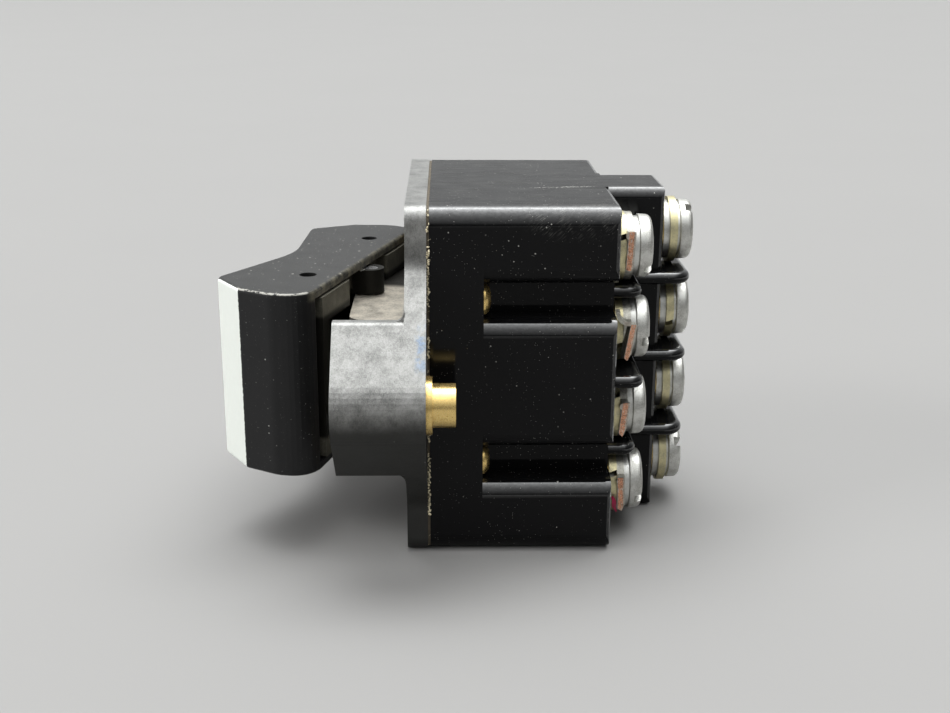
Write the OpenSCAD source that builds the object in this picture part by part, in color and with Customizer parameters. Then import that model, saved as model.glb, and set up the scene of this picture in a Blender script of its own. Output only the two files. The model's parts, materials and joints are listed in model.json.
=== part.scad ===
// Four pole rocker switch for a panel, with twelve screw terminals at the back.
// It lies on its long side: X runs from the rocker to the terminals, Y from the near
// ear to the far ear, Z along the row of poles. The origin is the middle of the two
// mounting holes, on the front faces of the mounting posts.

/* [Bracket] */
// Width of the switch between its two mounting ears
body_w = 35.3; // [34:0.1:37]
// Length of the switch along its row of poles
body_l = 40.4; // [39:0.1:46]
// Thickness of the cast flange
flange_t = 2.35; // [1.8:0.05:3.2]
// Radius of the corners of flange and case
corner_r = 1.8; // [0.8:0.1:2.6]
// Height of the mounting posts over the flange
post_len = 7.6; // [6.8:0.1:9]
// Distance between the two mounting holes
screw_pitch = 47.625; // [46.5:0.125:50]
// Radius of the clearance hole in a post
screw_hole_r = 1.8; // [1.6:0.05:2]
// Radius of the round tip of an ear
ear_r = 4.8; // [4.2:0.1:5.4]
// Angle between an ear's slanted edge and the side of the flange
ear_slant = 42; // [38:1:46]
// Radius of the inside corner between ear and flange
ear_fillet_r = 2.5; // [1:0.1:3]
// Half the height at which the posts are cut flat
post_half_z = 8.75; // [7:0.05:9.5]
// Wall between a mounting hole and the inner face of its post
post_wall = 1.1; // [0.8:0.1:1.6]
// Radius of the fillet at the foot of a post
foot_r = 1; // [0.4:0.1:1.4]

/* [Pivot] */
// Distance of the pivot from the front of the flange
pivot_rise = 4.8; // [4.6:0.1:5.4]
// Tilt of the rocker each way from the middle
tilt = 16.5; // [14:0.5:17]
// Radius of the pivot pin
pin_r = 1; // [0.8:0.05:1.15]
// Height of the pivot block over the pivot
block_over = 1.8; // [1.4:0.1:2.2]
// Half the length of the pivot block
block_half_y = 12.65; // [11.5:0.05:13]
// Half the thickness of the pivot block
block_half_z = 6.3; // [5.9:0.1:6.6]
// Radius of the rounded ends of the pivot block
block_r = 2; // [1:0.1:2.5]

/* [Rocker] */
// Half the width of the rocker cap
cap_half_z = 10.7; // [10.4:0.05:11.6]
// Gap between the end of the pressed rocker and a post
cap_gap = 0.85; // [0.5:0.05:1.5]
// Height of the cap's back rim over the pivot
rim_t = 0.35; // [0.2:0.05:0.8]
// Height of the cap's widest place over the pivot
bulge_t = 4.6; // [4:0.1:5]
// Height of the lower edge of the white band over the pivot
band_low_t = 8.8; // [8.2:0.1:9.4]
// How far the lower edge of the white band stands in from the cap's end
band_low_in = 1.1; // [0.6:0.1:1.5]
// Height of the cap's two ridges over the pivot
ridge_t = 13.5; // [12.8:0.1:14.2]
// How far a ridge stands in from the cap's end
ridge_in = 5.3; // [4.6:0.1:6]
// Height of the middle of the cap's dished face over the pivot
dish_t = 9.9; // [9.6:0.1:10.6]
// Radius of the cap's back corners
cap_corner_r = 3.2; // [2:0.1:3.6]
// Radius of the cap's ends at their widest place
bulge_r = 3; // [1:0.1:3.4]
// Radius of the lower edge of the white band
band_r = 0.9; // [0.4:0.1:1.4]
// Radius of the two ridges
ridge_r = 1.4; // [0.8:0.1:2]
// Radius of the dished face at its middle
dish_r = 14; // [8:0.5:20]
// Radius along the cap's long edges
cap_edge_r = 0.45; // [0.2:0.05:0.6]
// Thickness of the cap's side walls
cap_side_wall = 1; // [0.8:0.05:1.2]
// Thickness of the cap's face and ends
cap_wall = 1.8; // [1.4:0.1:2.2]

/* [Lever] */
// Thickness of each side cheek of the lever
cheek_t = 3; // [2.2:0.1:3.1]
// Radius of the pivot knuckles
knuckle_r = 1.72; // [1.6:0.02:2.2]
// Half the length of the relief in the cheeks' backs, round the knuckles
relief_s = 6.6; // [4:0.1:9]
// Height of that relief's floor over the pivot
relief_t = 1.8; // [1.2:0.1:2.4]
// Half the thickness of the lever's stem along the swing
stem_half_y = 2; // [1.6:0.1:2.2]
// Half the width of the lever's stem
stem_half_z = 2.8; // [2.5:0.1:2.9]
// Radius of the pins that hold the cap
cap_pin_r = 0.95; // [0.7:0.05:1.1]
// Distance of those pins from the middle of the cap
cap_pin_s = 10.4; // [9:0.1:11]
// Height of those pins over the pivot
cap_pin_t = 3.8; // [3:0.1:4.2]

/* [Case] */
// Depth of the case at its two outer columns
case_depth = 20.75; // [20:0.05:24]
// Depth of the case's full base behind the flange
base_depth = 5.95; // [5:0.05:7]
// Rise of the middle column over the outer ones
mid_rise = 6.7; // [5:0.1:8]
// Width of the middle column
mid_w = 9.9; // [9.2:0.1:10.8]
// How far the middle ribs stand out past the raised middle on each side
rib_over = 1.6; // [1:0.1:2]
// Radius of the case's long edges
edge_r = 2.2; // [1:0.1:2.6]
// Radius of the middle column's long edges
mid_edge_r = 1.4; // [0.8:0.1:2]
// Bevel of the rear edges
bevel = 0.45; // [0.2:0.05:0.55]
// Depth of the rivet grooves in the sides
groove_depth = 4.3; // [3.9:0.1:4.6]
// Half the width of a groove at its floor
groove_half = 1.95; // [1.85:0.05:2.1]
// Radius of a groove's rounded lips
lip_r = 2; // [1:0.1:2.4]
// Thickness of the ribs between the terminals
rib_t = 1.5; // [1:0.1:1.8]
// Height of the ribs
rib_h = 3.4; // [2.4:0.1:4]
// Thickness of the gasket between flange and case
gasket_t = 0.3; // [0.2:0.05:0.6]

/* [Poles] */
// Distance between neighbouring poles
pole_pitch = 9.525; // [9.4:0.025:9.6]
// Distance between the terminal columns
column_pitch = 9.525; // [9.4:0.025:9.55]
// Width of a contact chamber
chamber_w = 7.1; // [6.6:0.1:7.4]
// Wall between a chamber and the floor of a groove
chamber_wall = 1.5; // [1.3:0.05:1.6]
// Distance from the end of a chamber to the middle of its fixed contact
contact_in = 2.325; // [2:0.025:2.6]
// Reach of the plunger tips from the pivot
plunger_reach = 16; // [15.4:0.1:16.4]
// Radius of a plunger's tip
tip_r = 1.1; // [0.9:0.05:1.3]
// Radius of a plunger
plunger_r = 1.45; // [1.35:0.05:1.6]
// Swing of the moving contacts each way
contact_swing = 6; // [5:0.5:7]
// Width of the moving contacts
blade_w = 4.6; // [4:0.1:4.8]
// Thickness of the moving contacts
blade_t = 0.7; // [0.5:0.05:0.9]

/* [Terminals] */
// Radius of the tapped studs that carry the screws
stud_r = 2.3; // [2:0.05:2.4]
// Radius of a screw head
head_r = 3.65; // [3.3:0.05:3.65]
// Thickness of a screw head
head_t = 1.8; // [1.6:0.05:2.4]
// Radius of a screw's threaded shank
shank_r = 1.4; // [1.2:0.05:1.6]
// Length of a screw under its head
shank_len = 7.9; // [6.4:0.1:9]
// Thickness of the flat washers
flat_t = 0.7; // [0.5:0.05:1]
// Thickness of the split lock washers
lock_t = 0.9; // [0.6:0.05:1.1]
// How far the lock washers reach past the screw heads
lock_over = 0.3; // [0:0.05:0.3]
// Thickness of the small washers under the heads
thin_t = 0.35; // [0.25:0.05:0.5]
// Thickness of the cut ring lugs
lug_t = 0.85; // [0.5:0.05:1]
// Radius of the ring of a lug
lug_r = 3.9; // [3.4:0.05:3.95]
// Width of the neck that is left on a cut lug
neck_w = 4.4; // [4:0.1:4.8]
// How far a neck reaches past the edge of the lock washer
neck_over = 0.15; // [0.1:0.05:0.3]

/* [Fasteners] */
// Radius of the rivets
rivet_r = 1.1; // [0.9:0.05:1.3]
// Radius of the rivets' closed heads
rivet_head_r = 1.8; // [1.5:0.05:1.8]
// Radius of the collar of a mounting insert
insert_collar_r = 3.15; // [2.8:0.05:3.6]
// Radius of a mounting insert behind its collar
insert_r = 2.38; // [2.1:0.02:2.6]
// Length of a mounting insert behind the flange
insert_len = 3.15; // [2.6:0.05:5]
// Radius of the threaded hole in a mounting insert
insert_thread_r = 1.4; // [1.2:0.05:1.5]

/* [Hidden] */
$fn = 48;

// Small clearances
slip = 0.05;
press = 0.02;
far_cut = 1;

// Stations along X
flange_x = post_len;
back_x = flange_x + flange_t;
case_x = back_x + gasket_t;
base_x = case_x + base_depth;
rear_x = case_x + case_depth;
mid_x = rear_x + mid_rise;
pivot_x = flange_x - pivot_rise;
block_x = pivot_x - block_over;

// Ears and posts
side_y = body_w / 2;
hole_y = screw_pitch / 2;
ear_root_z = (ear_r + (hole_y - side_y) * cos(ear_slant)) / sin(ear_slant);
ear_apex_y = hole_y + ear_r / cos(ear_slant);
post_in_y = hole_y - screw_hole_r - post_wall;
insert_shank_r = insert_r - 0.18;
insert_shank_len = flange_t * 0.75;
insert_collar_t = 0.65;

// Rocker cap, with s along its length and t out of the panel, both from the pivot
cap_half_s = (post_in_y - cap_gap - bulge_t * sin(tilt)) / cos(tilt);
cap_in_z = cap_half_z - cap_side_wall;
band_low_s = cap_half_s - band_low_in;
ridge_s = cap_half_s - ridge_in;
rim_s = cap_half_s - 0.3;

// Lever
cheek_out_z = cap_in_z - 0.25;
cheek_in_z = cheek_out_z - cheek_t;
cheek_s = cap_half_s - cap_wall - 2.4;
end_web_s = block_half_y / cos(tilt) + 0.3;
end_web_t = 4;
bridge_low_t = block_over + 2.6;
bridge_top_t = dish_t - cap_wall - 0.15;
bridge_half_s = 5;
slot_half_y = stem_half_y / cos(tilt) + (back_x - pivot_x) * tan(tilt) + 0.15;
slot_half_z = stem_half_z + 0.3;

// Actuator bar, measured inward from the pivot
bar_x0 = back_x - pivot_x + 2.05;
bar_x1 = bar_x0 + 3.4;
bar_half_y = 3;
boss_x1 = bar_x1 + 1.6;
boss_r = plunger_r + 0.95;
spring_x0 = bar_x0 + 1.2;
spring_x1 = plunger_reach - 2;
plunger_x0 = plunger_reach - 4;
tenon_half_z = stem_half_z - 0.6;
bar_pin_r = 0.75;
bar_pin_x = bar_x0 + 1.6;

// Case between the floors of its grooves
core_y = side_y - groove_depth;

// Poles, chambers and see-saw contacts
pole_z = [for (i = [0 : 3]) (1.5 - i) * pole_pitch];
chamber_half_y = core_y - chamber_wall;
cavity_half_z = pole_z[0] + chamber_w / 2;
cavity_x = pivot_x + bar_x1 + 1.6;
bar_half_z = cavity_half_z - 0.5;
trough_h = 0.75;
seesaw_x = pivot_x + plunger_reach + slip + trough_h;
tip_path_r = (plunger_reach - tip_r) / (1 + 2 * contact_swing / tilt);
trough_r = (tip_path_r + tip_r) * 1.13;
trough_half = 4.2;
trough_angle = asin(trough_half / trough_r);
wing_x = trough_r * cos(trough_angle) - trough_r - trough_h;
wing_top = wing_x * cos(contact_swing) + trough_half * sin(contact_swing);
blade_half = chamber_half_y - 0.7;
bead_r = 0.7;
button_r = 1.5;
button_h = 0.5;
tip_x = seesaw_x + wing_top + blade_t + button_h + press;
floor_x = tip_x + 2.3;
contact_y = chamber_half_y - contact_in;
contact_head_y = 2 * contact_in - 0.2;
contact_head_z = chamber_w - 1.6;
saddle_x = seesaw_x + 0.12;

// Terminal hardware
pad_r = 3.3;
pad_t = 0.3;
tapped_r = shank_r + slip;
thread_gap = 0.35;
washer_hole_r = shank_r + thread_gap;
flat_r = head_r - 0.15;
lock_r = head_r + lock_over;
thin_r = head_r - 0.25;
near_stack = lock_t + lug_t + 2 * thin_t;
plain_stack = flat_t + lock_t + thin_t;
neck_reach = lock_r + neck_over;

// Where each screw stopped, as the tilt of its slot: near, middle and far column
slot_tilt = [[39, 16, 62, 24], [-57, 53, 80, -35], [12, -68, 35, 84]];

// Where each lock washer is split, as an angle from the far side
split_turn = [[155, 200, 148, 152], [75, 200, 310, 20], [140, 260, 15, 95]];

// Rivets sit in the middle of the grooves
rivet_y = side_y - groove_depth / 2 - 0.15;
rivet_z = pole_pitch;
rivet_sink = 0.8;

// A plain arc of a polygon's corner at b, between a and c
function unit(v) = v / norm(v);
function corner(a, b, c, r, n) =
    let (u = unit(a - b), v = unit(c - b), w = unit(u + v))
    let (half = acos(u * v) / 2, m = b + w * r / sin(half))
    let (p = b + u * r / tan(half) - m, q = b + v * r / tan(half) - m)
    let (a0 = atan2(p[1], p[0]), turn = atan2(p[0] * q[1] - p[1] * q[0], p * q))
    [for (i = [0 : n]) m + r * [cos(a0 + turn * i / n), sin(a0 + turn * i / n)]];

// Rounds each corner of a polygon by its own radius
function rounded(pts, radii, n = 6) =
    let (k = len(pts))
    [for (i = [0 : k - 1])
        each radii[i] == 0 ? [pts[i]] : corner(pts[(i + k - 1) % k], pts[i], pts[(i + 1) % k], radii[i], n)];

// Moves a counter-clockwise outline inward by d
function inset(pts, d) =
    let (k = len(pts), e = [for (i = [0 : k - 1]) unit(pts[(i + 1) % k] - pts[i])])
    let (nrm = [for (v = e) [-v[1], v[0]]])
    [for (i = [0 : k - 1])
        let (m = nrm[(i + k - 1) % k] + nrm[i])
        pts[i] + m * 2 * d / (m * m)];

// Extrudes an outline in Y and Z along X
module along_x(x0, x1) {
    translate([x0, 0, 0])
        rotate([90, 0, 90])
            linear_extrude(x1 - x0)
                children();
}

// Round bar along X
module rod_x(r, x0, x1) {
    translate([x0, 0, 0])
        rotate([0, 90, 0])
            cylinder(r = r, h = x1 - x0);
}

// Round bar along Y
module rod_y(r, y0, y1) {
    translate([0, y0, 0])
        rotate([-90, 0, 0])
            cylinder(r = r, h = y1 - y0);
}

// Box between two corners
module box(low, high) {
    translate(low)
        cube(high - low);
}

// Rectangle with round corners, about the origin
module round_rect(w, h, r) {
    square([w - 2 * r, h], center = true);
    square([w, h - 2 * r], center = true);
    for (a = [-1, 1], b = [-1, 1])
        translate([a * (w / 2 - r), b * (h / 2 - r)])
            circle(r);
}

// Both sides of the switch
module both_sides() {
    children();
    mirror([0, 1, 0])
        children();
}

// Turns a piece of the rocker from the middle position to its rest position
module rocker_at_rest() {
    translate([pivot_x, 0, 0])
        rotate([0, 0, -tilt])
            children();
}

// Outline of one ear: slanted edges, a round tip and inside fillets
module ear_outline() {
    root = ear_root_z + ear_fillet_r * 1.2;
    polygon(rounded(
        [[side_y - 3, -root], [side_y, -root], [side_y, -ear_root_z], [ear_apex_y, 0],
            [side_y, ear_root_z], [side_y, root], [side_y - 3, root]],
        [0, 0, ear_fillet_r, ear_r, ear_fillet_r, 0, 0], 12));
}

// Outline of one post: the ear's tip, cut flat at top, bottom and inside
module post_outline() {
    shoulder_y = ear_apex_y - post_half_z / tan(90 - ear_slant);
    polygon(rounded(
        [[post_in_y, -post_half_z], [shoulder_y, -post_half_z], [ear_apex_y, 0],
            [shoulder_y, post_half_z], [post_in_y, post_half_z]],
        [0.4, 0.9, ear_r, 0.9, 0.4], 12));
}

// Fillet between the flat side of a post and the flange
module post_foot() {
    shoulder_y = ear_apex_y - post_half_z / tan(90 - ear_slant);
    difference() {
        box([flange_x - foot_r, post_in_y + 0.5, post_half_z - 0.2],
            [flange_x + 0.1, shoulder_y - 0.4, post_half_z + foot_r]);
        translate([flange_x - foot_r, 0, post_half_z + foot_r])
            rod_y(foot_r, post_in_y - far_cut, shoulder_y + far_cut);
    }
}

// Cast bracket: flange, ears, posts and the block that carries the pivot
module bracket() {
    color([0.56, 0.56, 0.53])
    difference() {
        union() {
            along_x(flange_x, back_x)
                round_rect(body_w, body_l, corner_r);
            both_sides() {
                along_x(flange_x, back_x)
                    ear_outline();
                along_x(0, flange_x + 0.1)
                    post_outline();
                post_foot();
                mirror([0, 0, 1])
                    post_foot();
            }
            translate([0, 0, -block_half_z])
                linear_extrude(2 * block_half_z)
                    polygon(rounded(
                        [[block_x, -block_half_y], [back_x - 0.5, -block_half_y],
                            [back_x - 0.5, block_half_y], [block_x, block_half_y]],
                        [block_r, 0, 0, block_r], 8));
        }
        // Slot in which the lever swings
        box([block_x - far_cut, -slot_half_y, -slot_half_z], [back_x + far_cut, slot_half_y, slot_half_z]);
        // Hollows of the casting, open to the back
        both_sides()
            box([block_x + 1.8, slot_half_y + 1.9, -block_half_z + 1.8],
                [back_x + far_cut, block_half_y - 1.8, block_half_z - 1.8]);
        translate([pivot_x, 0, -block_half_z - far_cut])
            cylinder(r = pin_r + press, h = 2 * (block_half_z + far_cut));
        both_sides()
            translate([0, hole_y, 0]) {
                rod_x(screw_hole_r, -far_cut, back_x);
                rod_x(insert_shank_r + press, back_x - insert_shank_len, back_x + far_cut);
            }
        rivet_places() {
            rod_x(rivet_r + slip, flange_x - far_cut, back_x + far_cut);
            translate([flange_x, 0, 0])
                rotate([0, 90, 0])
                    rotate_extrude()
                        polygon([[0, -far_cut], [rivet_head_r + slip, -far_cut], [rivet_head_r + slip, 0],
                            [rivet_r + slip, rivet_sink], [0, rivet_sink]]);
        }
    }
}

// The four rivets
module rivet_places() {
    for (a = [-1, 1], b = [-1, 1])
        translate([0, a * rivet_y, b * rivet_z])
            children();
}

// Thin gasket behind the flange
module flange_gasket() {
    color([0.62, 0.52, 0.33])
    difference() {
        along_x(back_x, case_x)
            round_rect(body_w - 0.3, body_l - 0.3, corner_r);
        box([back_x - far_cut, -chamber_half_y, -cavity_half_z],
            [case_x + far_cut, chamber_half_y, cavity_half_z]);
        rivet_places()
            rod_x(rivet_r + 2 * slip, back_x - far_cut, case_x + far_cut);
    }
}

// Section of one pillar of an outer column; r0 and r1 round its lower and upper edge
module pillar(z0, z1, r0, r1) {
    in_y = core_y - 0.5;
    middle = (z0 + z1) / 2;
    translate([in_y, z0])
        square([side_y - r0 - in_y, middle - z0]);
    translate([in_y, middle])
        square([side_y - r1 - in_y, z1 - middle]);
    translate([in_y, z0 + r0])
        square([side_y - in_y, z1 - r1 - z0 - r0]);
    translate([side_y - r0, z0 + r0])
        circle(r0);
    translate([side_y - r1, z1 - r1])
        circle(r1);
}

// Section of the case behind its base: the core and three pillars on each side
module column_section() {
    square([2 * core_y, body_l], center = true);
    for (side = [0, 1])
        mirror([side, 0]) {
            pillar(rivet_z + groove_half, body_l / 2, lip_r, edge_r);
            pillar(groove_half - rivet_z, rivet_z - groove_half, lip_r, lip_r);
            pillar(-body_l / 2, -rivet_z - groove_half, edge_r, lip_r);
        }
}

// What is taken off a rear edge, drawn with the edge at the origin: a bevel with two faces
module edge_cut() {
    step = 0.3 * bevel;
    polygon([[-bevel, 0], [-step, -step], [0, -bevel], [far_cut, -bevel], [far_cut, far_cut],
        [-bevel, far_cut]]);
}

// Takes the rear edges off a column that ends at x1, from y0 to y1, across or along
module bevelled(x1, y0, y1) {
    difference() {
        children();
        both_sides() {
            translate([x1, y1, -body_l / 2 - far_cut])
                linear_extrude(body_l + 2 * far_cut)
                    edge_cut();
            for (b = [0, 1])
                mirror([0, 0, b])
                    translate([x1, y1 + far_cut, body_l / 2])
                        rotate([90, 0, 0])
                            linear_extrude(y1 - y0 + far_cut)
                                edge_cut();
        }
    }
}

// Rib with a full round edge; x0 is buried, plan_r rounds its two corners
module rib(x0, x1, y0, y1, plan_r) {
    e = rib_t / 2;
    in_r = plan_r - e;
    linear_extrude(rib_t, center = true) {
        polygon([[x0, y0 + e], [x1 - plan_r, y0 + e], [x1 - plan_r, y0 + plan_r], [x1 - e, y0 + plan_r],
            [x1 - e, y1 - plan_r], [x1 - plan_r, y1 - plan_r], [x1 - plan_r, y1 - e], [x0, y1 - e]]);
        for (y = [y0 + plan_r, y1 - plan_r])
            translate([x1 - plan_r, y])
                circle(in_r);
    }
    translate([x1 - e, 0, 0])
        rod_y(e, y0 + plan_r, y1 - plan_r);
    for (y = [y0 + e, y1 - e])
        translate([0, y, 0])
            rod_x(e, x0, x1 - plan_r);
    for (end = [[y0 + plan_r, -90], [y1 - plan_r, 0]])
        translate([x1 - plan_r, end[0], 0])
            rotate([0, 0, end[1]])
                rotate_extrude(angle = 90)
                    translate([in_r, 0])
                        circle(e);
}

// Moulded case: base, grooved outer columns, raised middle column, ribs and chambers
module case() {
    barriers = [-pole_pitch, 0, pole_pitch];
    color([0.07, 0.07, 0.07])
    difference() {
        union() {
            along_x(case_x, base_x)
                round_rect(body_w, body_l, edge_r);
            bevelled(rear_x, mid_w / 2, side_y)
                along_x(base_x, rear_x)
                    column_section();
            bevelled(mid_x, 0, mid_w / 2)
                along_x(rear_x, mid_x)
                    round_rect(mid_w, body_l, mid_edge_r);
            for (z = barriers)
                translate([0, 0, z]) {
                    near_y = z == 0 ? side_y - 0.9 : side_y - groove_depth - 0.4;
                    rib(rear_x - 2, mid_x + rib_h, -mid_w / 2 - rib_over, mid_w / 2 + rib_over, 2.4);
                    both_sides()
                        rib(rear_x - 2, rear_x + rib_h, -near_y, -mid_w / 2 + 2.4, 1.7);
                }
        }
        box([case_x - far_cut, -chamber_half_y, -cavity_half_z], [cavity_x, chamber_half_y, cavity_half_z]);
        for (z = pole_z) {
            box([cavity_x - far_cut, -chamber_half_y, z - chamber_w / 2],
                [floor_x, chamber_half_y, z + chamber_w / 2]);
            for (y = [-column_pitch, 0, column_pitch])
                translate([0, y, z])
                    rod_x(stud_r + press, floor_x - far_cut, mid_x + far_cut);
        }
        rivet_places()
            rod_x(rivet_r + slip, case_x - far_cut, base_x + far_cut);
    }
}

// Brass insert pressed into an ear from behind, threaded right through
module mounting_insert(side) {
    color([0.86, 0.74, 0.42])
    translate([0, side * hole_y, 0])
        difference() {
            union() {
                rod_x(insert_shank_r, back_x - insert_shank_len, back_x + 0.1);
                rod_x(insert_collar_r, back_x, back_x + insert_collar_t);
                rod_x(insert_r, back_x, back_x + insert_len);
            }
            rod_x(insert_thread_r, back_x - insert_shank_len - far_cut, back_x + insert_len + far_cut);
        }
}

// Rivets through flange, gasket and the case's base, set with a dome in the groove
module case_rivets() {
    color([0.80, 0.62, 0.34])
    rivet_places()
        rotate([0, 90, 0])
            rotate_extrude()
                polygon(concat(
                    [[0, flange_x], [rivet_head_r, flange_x], [rivet_r, flange_x + rivet_sink],
                        [rivet_r, base_x], [rivet_head_r, base_x]],
                    [for (a = [15 : 15 : 60]) [rivet_head_r * cos(a), base_x + 0.95 * sin(a)]],
                    [[0.55, base_x + 0.82], [0, base_x + 0.45]]));
}

// Outer terminal: tapped stud, seat for the washers and the fixed contact
module throw_terminal(side, pole) {
    stack = side == -1 ? near_stack : plain_stack;
    color([0.83, 0.72, 0.45])
    translate([0, 0, pole_z[pole]])
        difference() {
            union() {
                translate([0, side * column_pitch, 0]) {
                    rod_x(stud_r, floor_x - 0.2, rear_x + 0.1);
                    rod_x(pad_r, rear_x, rear_x + pad_t);
                }
                translate([0, side * contact_y, 0]) {
                    box([tip_x + 0.6, -contact_head_y / 2, -contact_head_z / 2],
                        [floor_x, contact_head_y / 2, contact_head_z / 2]);
                    rod_x(button_r + 0.2, tip_x, tip_x + 0.8);
                }
            }
            translate([0, side * column_pitch, 0])
                rod_x(tapped_r, rear_x + pad_t + stack - shank_len - 1, rear_x + far_cut);
        }
}

// Middle terminal: longer tapped stud with a grooved saddle for the see-saw
module common_terminal(pole) {
    ear_in = blade_w / 2 + 0.15;
    ear_out = contact_head_z / 2 + 0.4;
    color([0.83, 0.72, 0.45])
    translate([0, 0, pole_z[pole]])
        difference() {
            union() {
                rod_x(stud_r, floor_x - 0.2, mid_x + 0.1);
                rod_x(pad_r, mid_x, mid_x + pad_t);
                box([saddle_x, -2.2, -ear_out], [floor_x, 2.2, ear_out]);
                for (b = [-1, 1])
                    translate([0, 0, b * (ear_in + ear_out) / 2])
                        box([seesaw_x - 1.3, -1.3, (ear_in - ear_out) / 2],
                            [saddle_x + 0.1, 1.3, (ear_out - ear_in) / 2]);
            }
            translate([seesaw_x, 0, -ear_in])
                cylinder(r = bead_r + slip, h = 2 * ear_in);
            rod_x(tapped_r, mid_x + pad_t + plain_stack - shank_len - 1, mid_x + far_cut);
        }
}

// One wing of a moving contact, lying as it does when its button is closed
module wing() {
    translate([wing_top, trough_half - 0.3])
        square([blade_t, blade_half - trough_half + 0.3]);
    translate([wing_top + blade_t / 2, trough_half])
        circle(blade_t / 2);
}

// See-saw contact: a trough for the plunger, a bead to rock on, two wings with buttons
module moving_contact(pole) {
    color([0.80, 0.50, 0.33])
    translate([seesaw_x, 0, pole_z[pole]])
        rotate([0, 0, contact_swing]) {
            linear_extrude(blade_w, center = true) {
                translate([-trough_h - trough_r, 0])
                    intersection() {
                        difference() {
                            circle(trough_r + blade_t, $fn = 120);
                            circle(trough_r, $fn = 120);
                        }
                        polygon([[0, 0], 1.5 * trough_r * [cos(trough_angle), -sin(trough_angle)],
                            1.5 * trough_r * [cos(trough_angle), sin(trough_angle)]]);
                    }
                rotate(contact_swing)
                    wing();
                mirror([0, 1])
                    rotate(contact_swing)
                        wing();
            }
            translate([0, 0, -blade_w / 2])
                cylinder(r = bead_r, h = blade_w);
            for (b = [-1, 1])
                rotate([0, 0, b * contact_swing])
                    translate([0, b * contact_y, 0])
                        rod_x(button_r, wing_top + blade_t / 2, wing_top + blade_t + button_h);
        }
}

// Places of the terminals' hardware: height over the pads in the near and the other
// columns, and the turn of each piece
module terminal_places(columns, near, plain, turns) {
    for (side = columns, pole = [0 : 3])
        translate([
            (side == 0 ? mid_x : rear_x) + pad_t + (side == -1 ? near : plain),
            side * column_pitch, pole_z[pole]])
            rotate([turns[side + 1][pole], 0, 0])
                children();
}

// Flat ring along X
module ring_x(r, hole_r, t) {
    rotate([0, 90, 0])
        rotate_extrude()
            translate([hole_r, 0])
                square([r - hole_r, t]);
}

// Flat washers on the pads of the middle and far columns
module flat_washers() {
    color([0.72, 0.72, 0.70])
    terminal_places([0, 1], 0, 0, slot_tilt)
        ring_x(flat_r, washer_hole_r, flat_t);
}

// Split lock washers, each with its slanted cut
module lock_washers() {
    color([0.74, 0.70, 0.50])
    terminal_places([-1, 0, 1], 0, flat_t, split_turn)
        difference() {
            ring_x(lock_r, washer_hole_r, lock_t);
            translate([lock_t / 2, 0, 0])
                rotate([0, 20, 0])
                    box([-lock_t, 0, -0.3], [lock_t, lock_r + far_cut, 0.3]);
        }
}

// Small washers under the heads, two of them over each lug
module head_washers() {
    color([0.78, 0.78, 0.74]) {
        terminal_places([-1, 0, 1], lock_t + lug_t, flat_t + lock_t, slot_tilt)
            ring_x(thin_r, washer_hole_r, thin_t);
        terminal_places([-1], lock_t + lug_t + thin_t, 0, slot_tilt)
            ring_x(thin_r, washer_hole_r, thin_t);
    }
}

// Binding head screws with a straight slot
module terminal_screws() {
    color([0.62, 0.62, 0.60])
    terminal_places([-1, 0, 1], near_stack, plain_stack, slot_tilt)
        difference() {
            rotate([0, 90, 0])
                rotate_extrude()
                    polygon(rounded(
                        [[0, -shank_len], [shank_r - 0.3, -shank_len], [shank_r, 0.3 - shank_len],
                            [shank_r, 0], [head_r, 0], [head_r - 0.1, head_t - 0.25], [0, head_t]],
                        [0, 0, 0, 0, 0.15, 0.6, 0], 4));
            box([head_t - 1.1, -head_r - far_cut, -0.55], [head_t + far_cut, head_r + far_cut, 0.55]);
        }
}

// Ring lug left under a near screw, its barrel cut off short. The neck is turned about the
// screw and ends in a taper; its stub leans and is bent away from the case, and its upper
// edge keeps the start of the barrel: a rolled edge or, with a radius, an open hook
module cut_lug(pole, turn, taper, lean, bend, stub, hook_r) {
    half_w = neck_w / 2;
    roll_r = 0.45;
    hook_t = 0.45;
    face = [[0, half_w], [0, 0.4 * taper - half_w], [0.55 * lug_t, -half_w], [lug_t, taper - half_w],
        [lug_t, half_w]];
    color([0.78, 0.70, 0.60])
    translate([rear_x + pad_t + lock_t, -column_pitch, pole_z[pole]])
        rotate([turn, 0, 0])
            difference() {
                union() {
                    rod_x(lug_r, 0, lug_t);
                    rotate([90, 0, 0])
                        linear_extrude(neck_reach)
                            polygon(face);
                    translate([0, 0.1 - neck_reach, 0])
                        rotate([0, lean, bend])
                            rotate([90, 0, 0])
                                linear_extrude(stub + 0.1)
                                    polygon(face);
                    if (hook_r == 0)
                        translate([0.28, 0, half_w - roll_r])
                            rod_y(roll_r, -neck_reach - stub - 0.05, -neck_reach + 0.1);
                    else
                        translate([lug_t * 0.6, -neck_reach - stub, half_w + hook_r - hook_t + 0.35])
                            rotate([-90, 0, 0])
                                rotate([0, 0, 85])
                                    rotate_extrude(angle = 100)
                                        translate([hook_r - hook_t, 0])
                                            square([hook_t, stub + 0.1]);
                }
                rod_x(washer_hole_r, -far_cut, lug_t + far_cut);
            }
}

// Steel pin on which the rocker turns
module pivot_pin() {
    color([0.70, 0.70, 0.70])
    translate([pivot_x, 0, -cheek_out_z + slip])
        cylinder(r = pin_r, h = 2 * (cheek_out_z - slip));
}

// Outline of the cap's outside in the rocker's own plane, x being -t and y being s
cap_outline = rounded(
    [[-rim_t, -rim_s], [-rim_t, rim_s], [-bulge_t, cap_half_s], [-band_low_t, band_low_s],
        [-ridge_t, ridge_s], [-dish_t, 0], [-ridge_t, -ridge_s], [-band_low_t, -band_low_s],
        [-bulge_t, -cap_half_s]],
    [cap_corner_r, cap_corner_r, bulge_r, band_r, ridge_r, dish_r, ridge_r, band_r, bulge_r], 8);

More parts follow.
